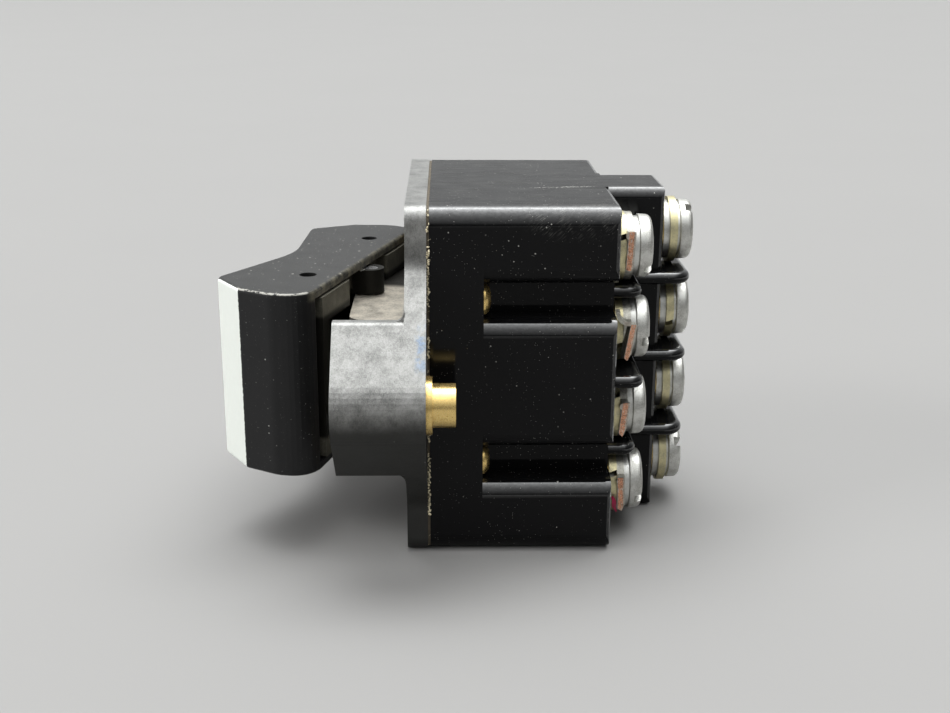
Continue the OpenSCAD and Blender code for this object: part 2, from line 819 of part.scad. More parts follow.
// Outline of the cap's hollow, open at the back
cap_hollow = rounded(
    [[far_cut, -cheek_s - 0.35], [far_cut, cheek_s + 0.35], [-rim_t - 1.4, cap_half_s - cap_wall],
        [-band_low_t + 0.6, band_low_s - cap_wall], [-ridge_t + 1.3 * cap_wall, ridge_s - 0.4],
        [-dish_t + cap_wall, 0], [-ridge_t + 1.3 * cap_wall, 0.4 - ridge_s],
        [-band_low_t + 0.6, cap_wall - band_low_s], [-rim_t - 1.4, cap_wall - cap_half_s]],
    [0, 0, 1.2, 1, 1, 4, 1, 1, 1.2], 4);

// Solid between copies of the cap's outline that shrink towards its two sides
module cap_body() {
    steps = [0, 22.5, 45, 67.5, 90];
    half = [for (a = steps) [cap_half_z - cap_edge_r * (1 - sin(a)), cap_edge_r * (1 - cos(a))]];
    levels = concat([for (i = [len(half) - 1 : -1 : 0]) [-half[i][0], half[i][1]]], half);
    n = len(cap_outline);
    m = len(levels);
    polyhedron(
        points = [for (l = levels) each [for (p = inset(cap_outline, l[1])) [p[0], p[1], l[0]]]],
        faces = concat(
            [[for (i = [0 : n - 1]) i]],
            [[for (i = [n - 1 : -1 : 0]) (m - 1) * n + i]],
            [for (j = [0 : m - 2], i = [0 : n - 1])
                [j * n + i, (j + 1) * n + i, (j + 1) * n + (i + 1) % n, j * n + (i + 1) % n]]));
}

// Moulded rocker cap: dished face, slanted end bands, hollow back
module rocker_cap() {
    color([0.10, 0.10, 0.10])
    rocker_at_rest()
        difference() {
            cap_body();
            translate([0, 0, -cap_in_z])
                linear_extrude(2 * cap_in_z)
                    polygon(cap_hollow);
            for (s = [-cap_pin_s, cap_pin_s])
                translate([-cap_pin_t, s, -cap_half_z - far_cut])
                    cylinder(r = cap_pin_r + slip, h = 2 * (cap_half_z + far_cut));
        }
}

// Cast lever: two cheeks with knuckles, a bridge over the pivot block and a stem
module lever() {
    cheek_end_s = cheek_s - 2.6;
    cheek_top_t = cap_pin_t + cap_pin_r + 1.2;
    color([0.25, 0.22, 0.16])
    rocker_at_rest()
        difference() {
            union() {
                for (b = [-1, 1])
                    translate([0, 0, b > 0 ? cheek_in_z : -cheek_out_z])
                        linear_extrude(cheek_t) {
                            polygon(rounded(
                                [[-0.1, -cheek_s], [-0.1, -relief_s], [-relief_t, -relief_s], [-relief_t, relief_s],
                                    [-0.1, relief_s], [-0.1, cheek_s], [-2.6, cheek_s], [-cheek_top_t, cheek_end_s],
                                    [-cheek_top_t, -cheek_end_s], [-2.6, -cheek_s]],
                                [0.5, 0.3, 0.3, 0.3, 0.3, 0.5, 1, 1, 1, 1], 4));
                            circle(knuckle_r);
                            translate([-relief_t - 0.2, -knuckle_r])
                                square([relief_t + 0.2, 2 * knuckle_r]);
                        }
                both_sides()
                    box([-end_web_t, end_web_s, -cheek_out_z], [-0.1, cheek_s, cheek_out_z]);
                box([-bridge_top_t, -bridge_half_s, -cheek_out_z], [-bridge_low_t, bridge_half_s, cheek_out_z]);
                box([-bridge_low_t - 0.5, -stem_half_y, -stem_half_z], [bar_x0 - 0.2, stem_half_y, stem_half_z]);
                box([0, -stem_half_y, -tenon_half_z], [bar_x1 - 0.5, stem_half_y, tenon_half_z]);
            }
            translate([0, 0, -cheek_out_z - far_cut])
                cylinder(r = pin_r + slip, h = 2 * (cheek_out_z + far_cut));
            for (s = [-cap_pin_s, cap_pin_s], b = [-1, 1])
                translate([-cap_pin_t, s, b > 0 ? cheek_in_z - far_cut : -cheek_out_z - far_cut])
                    cylinder(r = cap_pin_r + slip, h = cheek_t + 2 * far_cut);
            translate([bar_pin_x, 0, 0])
                rod_y(bar_pin_r + press, -stem_half_y - far_cut, stem_half_y + far_cut);
        }
}

// Four short pins that hold the cap to the lever's cheeks, sunk under the surface
module cap_pins() {
    color([0.30, 0.30, 0.30])
    rocker_at_rest()
        for (s = [-cap_pin_s, cap_pin_s], b = [-1, 1])
            translate([-cap_pin_t, s, b > 0 ? cheek_in_z + 0.4 : 0.5 - cap_half_z])
                cylinder(r = cap_pin_r, h = cap_half_z - cheek_in_z - 0.9);
}

// Insulating bar across all four poles, with a bored boss for each plunger
module actuator_bar() {
    color([0.35, 0.20, 0.12])
    rocker_at_rest()
        difference() {
            union() {
                translate([0, 0, -bar_half_z])
                    linear_extrude(2 * bar_half_z)
                        polygon(rounded(
                            [[bar_x0, -bar_half_y], [bar_x1, -bar_half_y], [bar_x1, bar_half_y],
                                [bar_x0, bar_half_y]],
                            [0.6, 0.6, 0.6, 0.6], 4));
                for (z = pole_z)
                    translate([0, 0, z])
                        rod_x(boss_r, bar_x1 - 0.5, boss_x1);
            }
            for (z = pole_z)
                translate([0, 0, z])
                    rod_x(plunger_r + slip, spring_x0, boss_x1 + far_cut);
            box([bar_x0 - far_cut, -stem_half_y - slip, -tenon_half_z - slip],
                [bar_x1 - 0.4, stem_half_y + slip, tenon_half_z + slip]);
            translate([bar_pin_x, 0, 0])
                rod_y(bar_pin_r + press, -bar_half_y - far_cut, bar_half_y + far_cut);
        }
}

// Cross pin through the bar and the lever's tenon
module bar_pin() {
    color([0.70, 0.70, 0.70])
    rocker_at_rest()
        translate([bar_pin_x, 0, 0])
            rod_y(bar_pin_r, -bar_half_y + 0.1, bar_half_y - 0.1);
}

// Hollow plunger with a ball tip that runs in a see-saw's trough
module plunger(pole) {
    cup_r = plunger_r - 0.4;
    color([0.90, 0.88, 0.80])
    rocker_at_rest()
        translate([0, 0, pole_z[pole]])
            difference() {
                union() {
                    rod_x(plunger_r, plunger_x0, plunger_reach - tip_r - 0.3);
                    rod_x(tip_r, plunger_x0, plunger_reach - tip_r);
                    translate([plunger_reach - tip_r, 0, 0])
                        sphere(tip_r);
                }
                rod_x(cup_r, plunger_x0 - far_cut, spring_x1 + slip);
            }
}

// Compression spring: a round wire swept along a helix with closed ends
module plunger_spring(pole) {
    turns = 5;
    per_turn = 14;
    sides = 6;
    wire_r = 0.15;
    coil_r = plunger_r - 0.4 - wire_r - 0.1;
    rings = turns * per_turn;
    rise = spring_x1 - spring_x0 - 2 * wire_r - 0.04;
    function along(k) = let (f = k / rings) rise * (f < 0.15 ? f * 0.6 : f > 0.85 ? 1 - (1 - f) * 0.6
        : 0.09 + (f - 0.15) * 0.82 / 0.7);
    function wire(k, j) = let (a = 360 * k / per_turn, b = 360 * j / sides)
        [along(k) + wire_r * sin(b), (coil_r + wire_r * cos(b)) * cos(a), (coil_r + wire_r * cos(b)) * sin(a)];
    color([0.75, 0.75, 0.75])
    rocker_at_rest()
        translate([spring_x0 + wire_r + 0.02, 0, pole_z[pole]])
            polyhedron(
                points = [for (k = [0 : rings], j = [0 : sides - 1]) wire(k, j)],
                faces = concat(
                    [[for (j = [0 : sides - 1]) j]],
                    [[for (j = [sides - 1 : -1 : 0]) rings * sides + j]],
                    [for (k = [0 : rings - 1], j = [0 : sides - 1])
                        [k * sides + j, (k + 1) * sides + j, (k + 1) * sides + (j + 1) % sides,
                            k * sides + (j + 1) % sides]]));
}

bracket();
case();
flange_gasket();
mounting_insert(-1);  // mounting_insert_near
mounting_insert(1);  // mounting_insert_far
case_rivets();
throw_terminal(-1, 0);  // near_terminal_1
throw_terminal(-1, 1);  // near_terminal_2
throw_terminal(-1, 2);  // near_terminal_3
throw_terminal(-1, 3);  // near_terminal_4
common_terminal(0);  // common_terminal_1
common_terminal(1);  // common_terminal_2
common_terminal(2);  // common_terminal_3
common_terminal(3);  // common_terminal_4
throw_terminal(1, 0);  // far_terminal_1
throw_terminal(1, 1);  // far_terminal_2
throw_terminal(1, 2);  // far_terminal_3
throw_terminal(1, 3);  // far_terminal_4
flat_washers();
lock_washers();
head_washers();
terminal_screws();
cut_lug(0, -3, 0.4, 3, 4, 0.25, 0);  // cut_lug_1
cut_lug(1, 8, 0.9, 9, 20, 0.9, 1.6);  // cut_lug_2
cut_lug(2, 8, 1.2, 4, 2, 0.3, 0);  // cut_lug_3
cut_lug(3, 6, 0.9, -3, 3, 0.3, 0);  // cut_lug_4
moving_contact(0);  // moving_contact_1
moving_contact(1);  // moving_contact_2
moving_contact(2);  // moving_contact_3
moving_contact(3);  // moving_contact_4
pivot_pin();
lever();
rocker_cap();
cap_pins();
actuator_bar();
bar_pin();
plunger(0);  // plunger_1
plunger(1);  // plunger_2
plunger(2);  // plunger_3
plunger(3);  // plunger_4
plunger_spring(0);  // plunger_spring_1
plunger_spring(1);  // plunger_spring_2
plunger_spring(2);  // plunger_spring_3
plunger_spring(3);  // plunger_spring_4
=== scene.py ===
"""Looks of a four pole rocker switch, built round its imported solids."""
import json
import math

import bpy
from bpy.props import FloatProperty, FloatVectorProperty, IntProperty, PointerProperty
from mathutils import Matrix, Vector


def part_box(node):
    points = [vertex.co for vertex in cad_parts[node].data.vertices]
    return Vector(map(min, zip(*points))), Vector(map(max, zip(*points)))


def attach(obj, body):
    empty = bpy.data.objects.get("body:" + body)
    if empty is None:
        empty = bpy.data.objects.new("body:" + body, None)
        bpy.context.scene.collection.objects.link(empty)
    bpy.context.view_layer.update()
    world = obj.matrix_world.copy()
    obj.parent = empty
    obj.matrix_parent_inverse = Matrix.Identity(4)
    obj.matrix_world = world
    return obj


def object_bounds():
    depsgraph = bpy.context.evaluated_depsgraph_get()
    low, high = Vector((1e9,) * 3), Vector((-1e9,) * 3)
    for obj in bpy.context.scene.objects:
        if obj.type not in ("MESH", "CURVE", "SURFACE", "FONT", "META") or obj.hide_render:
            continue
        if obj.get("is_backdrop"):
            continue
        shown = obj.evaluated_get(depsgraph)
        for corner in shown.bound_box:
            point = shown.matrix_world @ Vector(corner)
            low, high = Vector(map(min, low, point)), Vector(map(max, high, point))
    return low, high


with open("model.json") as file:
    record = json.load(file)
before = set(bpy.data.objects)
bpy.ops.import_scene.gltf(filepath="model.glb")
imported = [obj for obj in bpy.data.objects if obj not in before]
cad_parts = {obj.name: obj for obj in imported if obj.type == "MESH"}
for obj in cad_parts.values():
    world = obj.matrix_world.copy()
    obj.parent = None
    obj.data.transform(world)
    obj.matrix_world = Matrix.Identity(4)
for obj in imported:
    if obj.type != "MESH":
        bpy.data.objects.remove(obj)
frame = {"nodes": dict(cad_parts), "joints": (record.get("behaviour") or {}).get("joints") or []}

bl_info = {
    "name": "Rocker switch looks",
    "version": (1, 0, 0),
    "blender": (4, 5, 0),
    "location": "View3D > Sidebar > Switch",
    "description": "Dresses the solids of a four pole rocker switch in their real finishes",
    "category": "Object",
}

MM = 0.001
POLES = 4
TILT = next(joint for joint in frame["joints"] if joint["name"] == "rocker_tilt")
REST_TILT = math.radians(TILT["range_deg"][1] / 2)
GASKET_LOW, GASKET_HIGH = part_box("flange_gasket")

# Places and sizes that the finishes follow, in millimetres
PIVOT_X = TILT["pos_m"][0] / MM
CASE_SIDE, CASE_TOP = [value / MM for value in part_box("case")[1].yz]
FLANGE_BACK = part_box("bracket")[1].x / MM
BLOCK_FRONT, BLOCK_BACK, BLOCK_HALF = 0.6, 7.1, 12.8
CAP_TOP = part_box("rocker_cap")[1].z / MM
KNUCKLE_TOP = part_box("lever")[1].z / MM
LUG_THICK = 0.7
LUG_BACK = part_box("head_washers")[0].x / MM - LUG_THICK
NECK_END = 4.0

# Foot and tip of the cap's slanted ends: place along the cap and height over the pivot
END_FOOT_ALONG, END_FOOT_HEIGHT = 18.46, 8.8
END_TIP_ALONG, END_TIP_HEIGHT = 14.26, 13.5

# Each lug's turn on its screw, lean of its cut and bend of its neck in degrees, and stub in millimetres
LUG_CUTS = ((-3, 3, 4, 0.25), (8, 9, 20, 0.9), (8, 4, 2, 0.3), (6, -3, 3, 0.3))


# Properties

def colour_property(name, description, default):
    return FloatVectorProperty(name=name, description=description, default=default, subtype="COLOR",
                               size=3, min=0, max=1)


def length_property(name, description, default):
    return FloatProperty(name=name, description=description, default=default, unit="LENGTH", min=0,
                         precision=5)


class BracketLooks(bpy.types.PropertyGroup):
    """Finish of the cast bracket."""
    pale: colour_property("Pale skin", "Cast skin where it is clean", (0.33, 0.33, 0.318))
    dark: colour_property("Dark skin", "Cast skin in its dull patches", (0.12, 0.12, 0.115))
    warm: colour_property("Warm film", "Film of old grease on the pivot block", (0.66, 0.60, 0.50))
    stain: colour_property("Blue stain", "Ink left on the edge of the flange", (0.10, 0.22, 0.40))
    # Painted shade: the colour of the shadow, the shaded undersides and the dark reflection band
    # painted on the casting
    painted_shade: colour_property("Soot", "Dull film where the casting faces down", (0.03, 0.03, 0.028))
    pit: colour_property("Pits", "Small pits in the skin", (0.10, 0.10, 0.09))
    chip: colour_property("Chips", "Bright chips in the skin", (0.85, 0.85, 0.82))


class CaseLooks(bpy.types.PropertyGroup):
    """Finish of the moulded case."""
    black: colour_property("Moulding", "Black of the moulding", (0.0045, 0.0045, 0.0048))
    dust: colour_property("Dust", "Dust on the case", (0.55, 0.54, 0.50))
    gloss: FloatProperty(name="Roughness", description="Roughness of the clean moulding", default=0.09,
                         min=0, max=1, subtype="FACTOR")
    reflection: FloatProperty(name="Reflection", description="Specular level of the moulding",
                              default=0.11, min=0, max=1, subtype="FACTOR")


class RockerLooks(bpy.types.PropertyGroup):
    """Finish of the rocker cap and its lever."""
    black: colour_property("Moulding", "Satin black of the cap", (0.008, 0.008, 0.0083))
    band: colour_property("Band", "Paint of the end bands", (0.78, 0.81, 0.76))
    worn: colour_property("Worn edge", "Rubbed edges of the cap", (0.42, 0.41, 0.37))
    dust: colour_property("Dust", "Dust on the cap", (0.5, 0.5, 0.47))
    grime: colour_property("Grime", "Brown film on the back of the cap's rim", (0.125, 0.115, 0.085))
    band_low: length_property("Band's lower edge", "Height of that edge over the pivot", 8.85 * MM)
    band_top: length_property("Band's top edge", "Height of that edge over the pivot", 13.6 * MM)
    bronze: colour_property("Lever", "Dark coat of the lever", (0.07, 0.066, 0.052))
    # Colour of a bright spot on the near knuckle's edge
    bright_spot: colour_property("Bright nick", "Nick on the edge of the near knuckle", (0.85, 0.84, 0.78))
    pins: colour_property("Cap pins", "Black of the pins that hold the cap", (0.02, 0.02, 0.02))
    bar: colour_property("Actuator bar", "Brown phenolic of the bar", (0.16, 0.075, 0.035))
    plungers: colour_property("Plungers", "Ivory nylon of the plungers", (0.74, 0.70, 0.58))


class TerminalLooks(bpy.types.PropertyGroup):
    """Finish of screws, washers, lugs, inserts and rivets."""
    nickel: colour_property("Nickel", "Plate of the screws", (0.62, 0.62, 0.59))
    tarnish: colour_property("Tarnish", "Dull film on the plate", (0.25, 0.24, 0.21))
    yellow: colour_property("Yellow zinc", "Passivated zinc of the lock washers", (0.66, 0.60, 0.36))
    tin: colour_property("Tin", "Tin on the lugs", (0.68, 0.67, 0.60))
    copper: colour_property("Copper", "Copper where a lug was cut", (0.84, 0.42, 0.26))
    brass: colour_property("Brass", "Brass of inserts, rivets and studs", (0.80, 0.58, 0.22))
    patina: colour_property("Patina", "Brown film on the brass", (0.30, 0.20, 0.08))
    steel: colour_property("Steel", "Steel of pins and springs", (0.6, 0.6, 0.6))
    sleeve: colour_property("Sleeve scrap", "Scrap of a sleeve at the lowest lug", (0.55, 0.012, 0.09))
    bore_radius: length_property("Bore radius", "Radius of the inserts' bores", 1.4 * MM)
    thread_pitch: length_property("Thread pitch", "Pitch of the inserts' thread", 0.79 * MM)
    thread_depth: length_property("Thread depth", "Height of that thread's crest", 0.13 * MM)


class GasketLooks(bpy.types.PropertyGroup):
    """Gasket and the crumbs along its edge."""
    tan: colour_property("Gasket", "Tan of the gasket", (0.13, 0.105, 0.07))
    crumb: colour_property("Crumb colour", "Crumbs along the joint", (0.88, 0.78, 0.54))
    crumbs: IntProperty(name="Crumb count", description="Places for crumbs round the joint",
                        default=1150, min=0)
    crumb_size: length_property("Crumb size", "Radius of a usual crumb", 0.095 * MM)
    fibres: IntProperty(name="Fibre count", description="Places for frayed fibres round the joint",
                        default=110, min=0)


class StageLooks(bpy.types.PropertyGroup):
    """Floor, light and camera."""
    floor: colour_property("Floor", "Colour of the floor", (0.225, 0.221, 0.216))
    sky: FloatProperty(name="Sky light", description="Brightness of the broad light overhead",
                       default=13, min=0)
    sky_angle: FloatProperty(name="Sky angle", description="Height of that light behind the switch",
                             default=math.radians(72), subtype="ANGLE")
    side_power: FloatProperty(name="Side light", description="Power of the light on the rocker's side",
                              default=22, min=0, unit="POWER")
    eye: FloatVectorProperty(name="Camera place", description="Where the camera stands", size=3,
                             default=(0.01209, -0.15321, 0.04585), subtype="TRANSLATION", unit="LENGTH")
    pitch: FloatProperty(name="Camera pitch", description="Angle of the camera below the horizon",
                         default=0.3025, unit="ROTATION")
    yaw: FloatProperty(name="Camera yaw", description="Turn of the camera to the right", default=0.0234,
                       unit="ROTATION")
    roll: FloatProperty(name="Camera roll", description="Roll of the camera", default=0.0054,
                        unit="ROTATION")
    focus: FloatProperty(name="Focal length", description="In pixels of a 950 pixel wide frame",
                         default=1285.8, min=1)


GROUPS = {"bracket": BracketLooks, "case": CaseLooks, "rocker": RockerLooks, "terminals": TerminalLooks,
          "gasket": GasketLooks, "stage": StageLooks}


# Node trees

class Wire:
    """One output in a node tree. Python's operators on it add Math nodes."""

    def __init__(self, tree, socket=None):
        self.tree = tree
        self.socket = socket

    def node(self, kind, settings=None, inputs=None, out=0):
        """Adds any node: its settings first, then the values or links of its sockets."""
        made = self.tree.nodes.new(kind)
        for key, value in (settings or {}).items():
            setattr(made, key, value)
        for key, value in (inputs or {}).items():
            if isinstance(value, Wire):
                self.tree.links.new(value.socket, made.inputs[key])
            else:
                made.inputs[key].default_value = value
        return Wire(self.tree, made.outputs[out])

    def math(self, operation, *terms):
        return self.node("ShaderNodeMath", {"operation": operation}, dict(enumerate(terms)))

    def __add__(self, other):
        return self.math("ADD", self, other)

    def __radd__(self, other):
        return self.math("ADD", other, self)

    def __sub__(self, other):
        return self.math("SUBTRACT", self, other)

    def __rsub__(self, other):
        return self.math("SUBTRACT", other, self)

    def __mul__(self, other):
        return self.math("MULTIPLY", self, other)

    def __rmul__(self, other):
        return self.math("MULTIPLY", other, self)

    def __truediv__(self, other):
        return self.math("DIVIDE", self, other)

    def __abs__(self):
        return self.math("ABSOLUTE", self)

    def either(self, other):
        return self.math("MAXIMUM", self, other)

    def rise(self, low, high):
        """0 below low, 1 above high and smooth between."""
        return self.node("ShaderNodeMapRange", {"interpolation_type": "SMOOTHSTEP"},
                         {0: self, 1: low, 2: high, 3: 0.0, 4: 1.0})

    def within(self, low, high, soft):
        """1 between low and high, fading over soft on each side."""
        return self.rise(low - soft, low + soft) * (1 - self.rise(high - soft, high + soft))

    def blend(self, first, second):
        """Colour first where this is 0, second where it is 1."""
        return self.node("ShaderNodeMix", {"data_type": "RGBA"},
                         {0: self, 6: rgba(first), 7: rgba(second)}, 2)

    def axes(self):
        """The three parts of a vector."""
        return [self.node("ShaderNodeSeparateXYZ", None, {0: self}, axis) for axis in range(3)]


def rgba(colour):
    return colour if isinstance(colour, Wire) else (*colour, 1)


def dimmed(colour, share):
    """A share of a colour's brightness."""
    return [value * share for value in colour]


def show(shader, kind):
    """Ends a shader tree in an output of that kind."""
    out = shader.tree.nodes.new(kind)
    shader.tree.links.new(shader.socket, out.inputs["Surface"])


class Finish:
    """A new material that reads object coordinates in millimetres."""

    def __init__(self, name):
        self.material = bpy.data.materials.new(name)
        self.material.use_nodes = True
        tree = self.material.node_tree
        tree.nodes.clear()
        self.start = Wire(tree)
        place = self.start.node("ShaderNodeTexCoord", out="Object")
        self.place = place.node("ShaderNodeVectorMath", {"operation": "SCALE"},
                                {0: place, "Scale": 1 / MM})
        self.x, self.y, self.z = self.place.axes()

    def stretched(self, scale, turn=(0, 0, 0)):
        """Coordinates turned and then scaled along each axis."""
        return self.start.node("ShaderNodeMapping", None,
                               {"Vector": self.place, "Scale": scale, "Rotation": turn})

    def noise(self, per_mm, detail=4, rough=0.6, place=None, warp=0.0):
        return self.start.node("ShaderNodeTexNoise", None, {
            "Vector": place or self.place, "Scale": per_mm, "Detail": detail, "Roughness": rough,
            "Distortion": warp})

    def specks(self, per_mm, size, share):
        """Dots of a radius in millimetres, in a share of the cells."""
        inputs = {"Vector": self.place, "Scale": per_mm}
        gap = self.start.node("ShaderNodeTexVoronoi", None, inputs, "Distance")
        pick = self.start.node("ShaderNodeTexVoronoi", None, inputs, "Color")
        red = pick.node("ShaderNodeSeparateColor", None, {0: pick})
        green = pick.node("ShaderNodeSeparateColor", None, {0: pick}, 1)
        reach = (green * 0.8 + 0.3) * (size * per_mm)
        dot = (reach - gap) / (size * per_mm * 0.35)
        return dot.rise(0, 1) * red.rise(1 - share, 1 - share + 0.001)

    def close(self, colour, roughness, metallic=0.0, height=None, depth=0.0, strength=1.0, **fixed):
        """Ends the material: colour and roughness may vary, fixed values go on their sockets."""
        inputs = {"Base Color": rgba(colour), "Roughness": roughness, "Metallic": metallic}
        if height is not None:
            inputs["Normal"] = self.start.node("ShaderNodeBump", None, {
                "Height": height, "Distance": depth * MM, "Strength": strength})
        inputs.update({key.replace("_", " "): value for key, value in fixed.items()})
        shader = self.start.node("ShaderNodeBsdfPrincipled", None, inputs)
        show(shader, "ShaderNodeOutputMaterial")
        return self.material


class Growth:
    """A Geometry Nodes tree with named inputs, grown once into a plain mesh."""

    def __init__(self, name, inputs):
        self.name = name
        self.tree = bpy.data.node_groups.new(name, "GeometryNodeTree")
        interface = self.tree.interface
        interface.new_socket("Geometry", in_out="INPUT", socket_type="NodeSocketGeometry")
        self.values = {}
        for label, kind, value in inputs:
            made = interface.new_socket(label, in_out="INPUT", socket_type=f"NodeSocket{kind}")
            self.values[made.identifier] = value
        interface.new_socket("Geometry", in_out="OUTPUT", socket_type="NodeSocketGeometry")
        self.start = Wire(self.tree)
        ends = self.tree.nodes.new("NodeGroupInput").outputs
        self.inputs = {socket.name: Wire(self.tree, socket) for socket in ends if socket.name}

    def spread(self, low, high, seed):
        """A random vector between two corners."""
        return self.start.node("FunctionNodeRandomValue", {"data_type": "FLOAT_VECTOR"},
                               {0: low, 1: high, 8: seed})

    def join(self, *parts):
        joined = self.tree.nodes.new("GeometryNodeJoinGeometry")
        for part in parts:
            self.tree.links.new(part.socket, joined.inputs[0])
        return Wire(self.tree, joined.outputs[0])

    def grow(self, geometry, path, body):
        """Ends the tree, runs it on a path and keeps the result as a piece of the switch."""
        real = self.start.node("GeometryNodeRealizeInstances", None, {0: geometry})
        done = self.start.node("GeometryNodeSetMaterial", None, {
            "Geometry": real, "Material": self.inputs["Material"]})
        end = self.tree.nodes.new("NodeGroupOutput")
        self.tree.links.new(done.socket, end.inputs[0])
        piece = bpy.data.objects.new(self.name, path)
        bpy.context.scene.collection.objects.link(piece)
        modifier = piece.modifiers.new(self.name, "NODES")
        modifier.node_group = self.tree
        for identifier, value in self.values.items():
            modifier[identifier] = value
        grown = piece.evaluated_get(bpy.context.evaluated_depsgraph_get())
        mesh = bpy.data.meshes.new_from_object(grown)
        piece.modifiers.remove(modifier)
        piece.data = mesh
        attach(piece, body)


def wear(nodes, material):
    """Gives CAD nodes a material."""
    for name in nodes:
        piece = frame["nodes"][name]
        for slot in piece.material_slots:
            slot.material = material
        if not piece.material_slots:
            piece.data.materials.append(material)


def numbered(stem):
    """Names of the nodes that each pole has."""
    return [f"{stem}_{number}" for number in range(1, POLES + 1)]


# Finishes

def cast_metal(looks):
    """Mottled casting with grease and a painted shadow on the pivot block, painted shade on the
    undersides, a painted dark reflection on the flange's near side, ink, pits and chips.
    """
    f = Finish("cast_metal")
    clouds = f.noise(0.45, 5, 0.62)
    skin = f.noise(1.0, 6, 0.8, f.stretched((3.4, 3.4, 2.0), (0, math.radians(35), 0)), 0.6)
    grain = f.noise(9, 4, 0.75)
    drift = clouds - 0.5
    tone = drift * 1.1 + (skin - 0.5) * 1.2 + (grain - 0.5) * 0.9 + 0.54
    metal = tone.rise(0.05, 0.95).blend(looks.dark, looks.pale)

    # The pivot block has a film of old grease, and a painted shadow on the far half of its top, where
    # the cheek and cap shade it
    block = f.x.within(BLOCK_FRONT, BLOCK_BACK, 0.2)
    block = block * (1 - abs(f.y).rise(BLOCK_HALF - 0.2, BLOCK_HALF + 0.1))
    film = (clouds * 0.5 + skin * 0.5).rise(0.36, 0.6).blend(dimmed(looks.warm, 0.4), looks.warm)
    metal = (block * 0.8).blend(metal, film)
    painted_far_shadow = (f.y + drift * 1.5 + f.x * 0.25).rise(3.4, 5.6) * block * f.z.rise(4, 5)
    metal = (painted_far_shadow * 0.96).blend(metal, dimmed(looks.painted_shade, 0.3))

    # Posts and ears get painted shade below, up to a line that lies higher towards the ears' tips
    ear_root, ear_tip, ear_lift = 18.5, 26, 4.7
    level = f.z - abs(f.y).rise(ear_root, ear_tip) * ear_lift + drift * 1.2
    painted_underside_shade = (1 - level.rise(-6.5, -2.8)) * abs(f.y).rise(16, 17)
    metal = (painted_underside_shade * 0.95).blend(metal, looks.painted_shade)

    # The flange's near side has a painted dark reflection as a band near its top, and ink at its back
    # edge
    reflection_low, reflection_high = 13.4, 16.7
    ink_low, ink_high = 4.6, 8.4
    near_side = 1 - f.y.rise(0.05 - CASE_SIDE, 0.45 - CASE_SIDE)
    tarnish_and_painted_reflection = near_side * (f.z + drift * 0.8).within(reflection_low, reflection_high, 0.9)
    metal = (tarnish_and_painted_reflection * 0.32).blend(metal, looks.painted_shade)
    back_edge = f.x.within(FLANGE_BACK - 1.05, FLANGE_BACK + 0.05, 0.3)
    edge = near_side * f.z.within(ink_low, ink_high, 1.2) * back_edge
    ink = f.noise(1.1, 4, 0.7).rise(0.42, 0.62) * edge
    metal = (ink * 0.4).blend(metal, looks.stain)

    pits = f.specks(1.3, 0.08, 0.35)
    chips = f.specks(0.9, 0.07, 0.25)
    metal = (pits * 0.7).blend(metal, looks.pit)
    metal = (chips * 0.6).blend(metal, looks.chip)
    height = skin * 0.6 + grain * 0.5 - pits * 1.2
    rough = skin * 0.25 + 0.34 + painted_underside_shade * 0.12
    return f.close(metal, rough, 0.75, height, 0.035, 0.8)


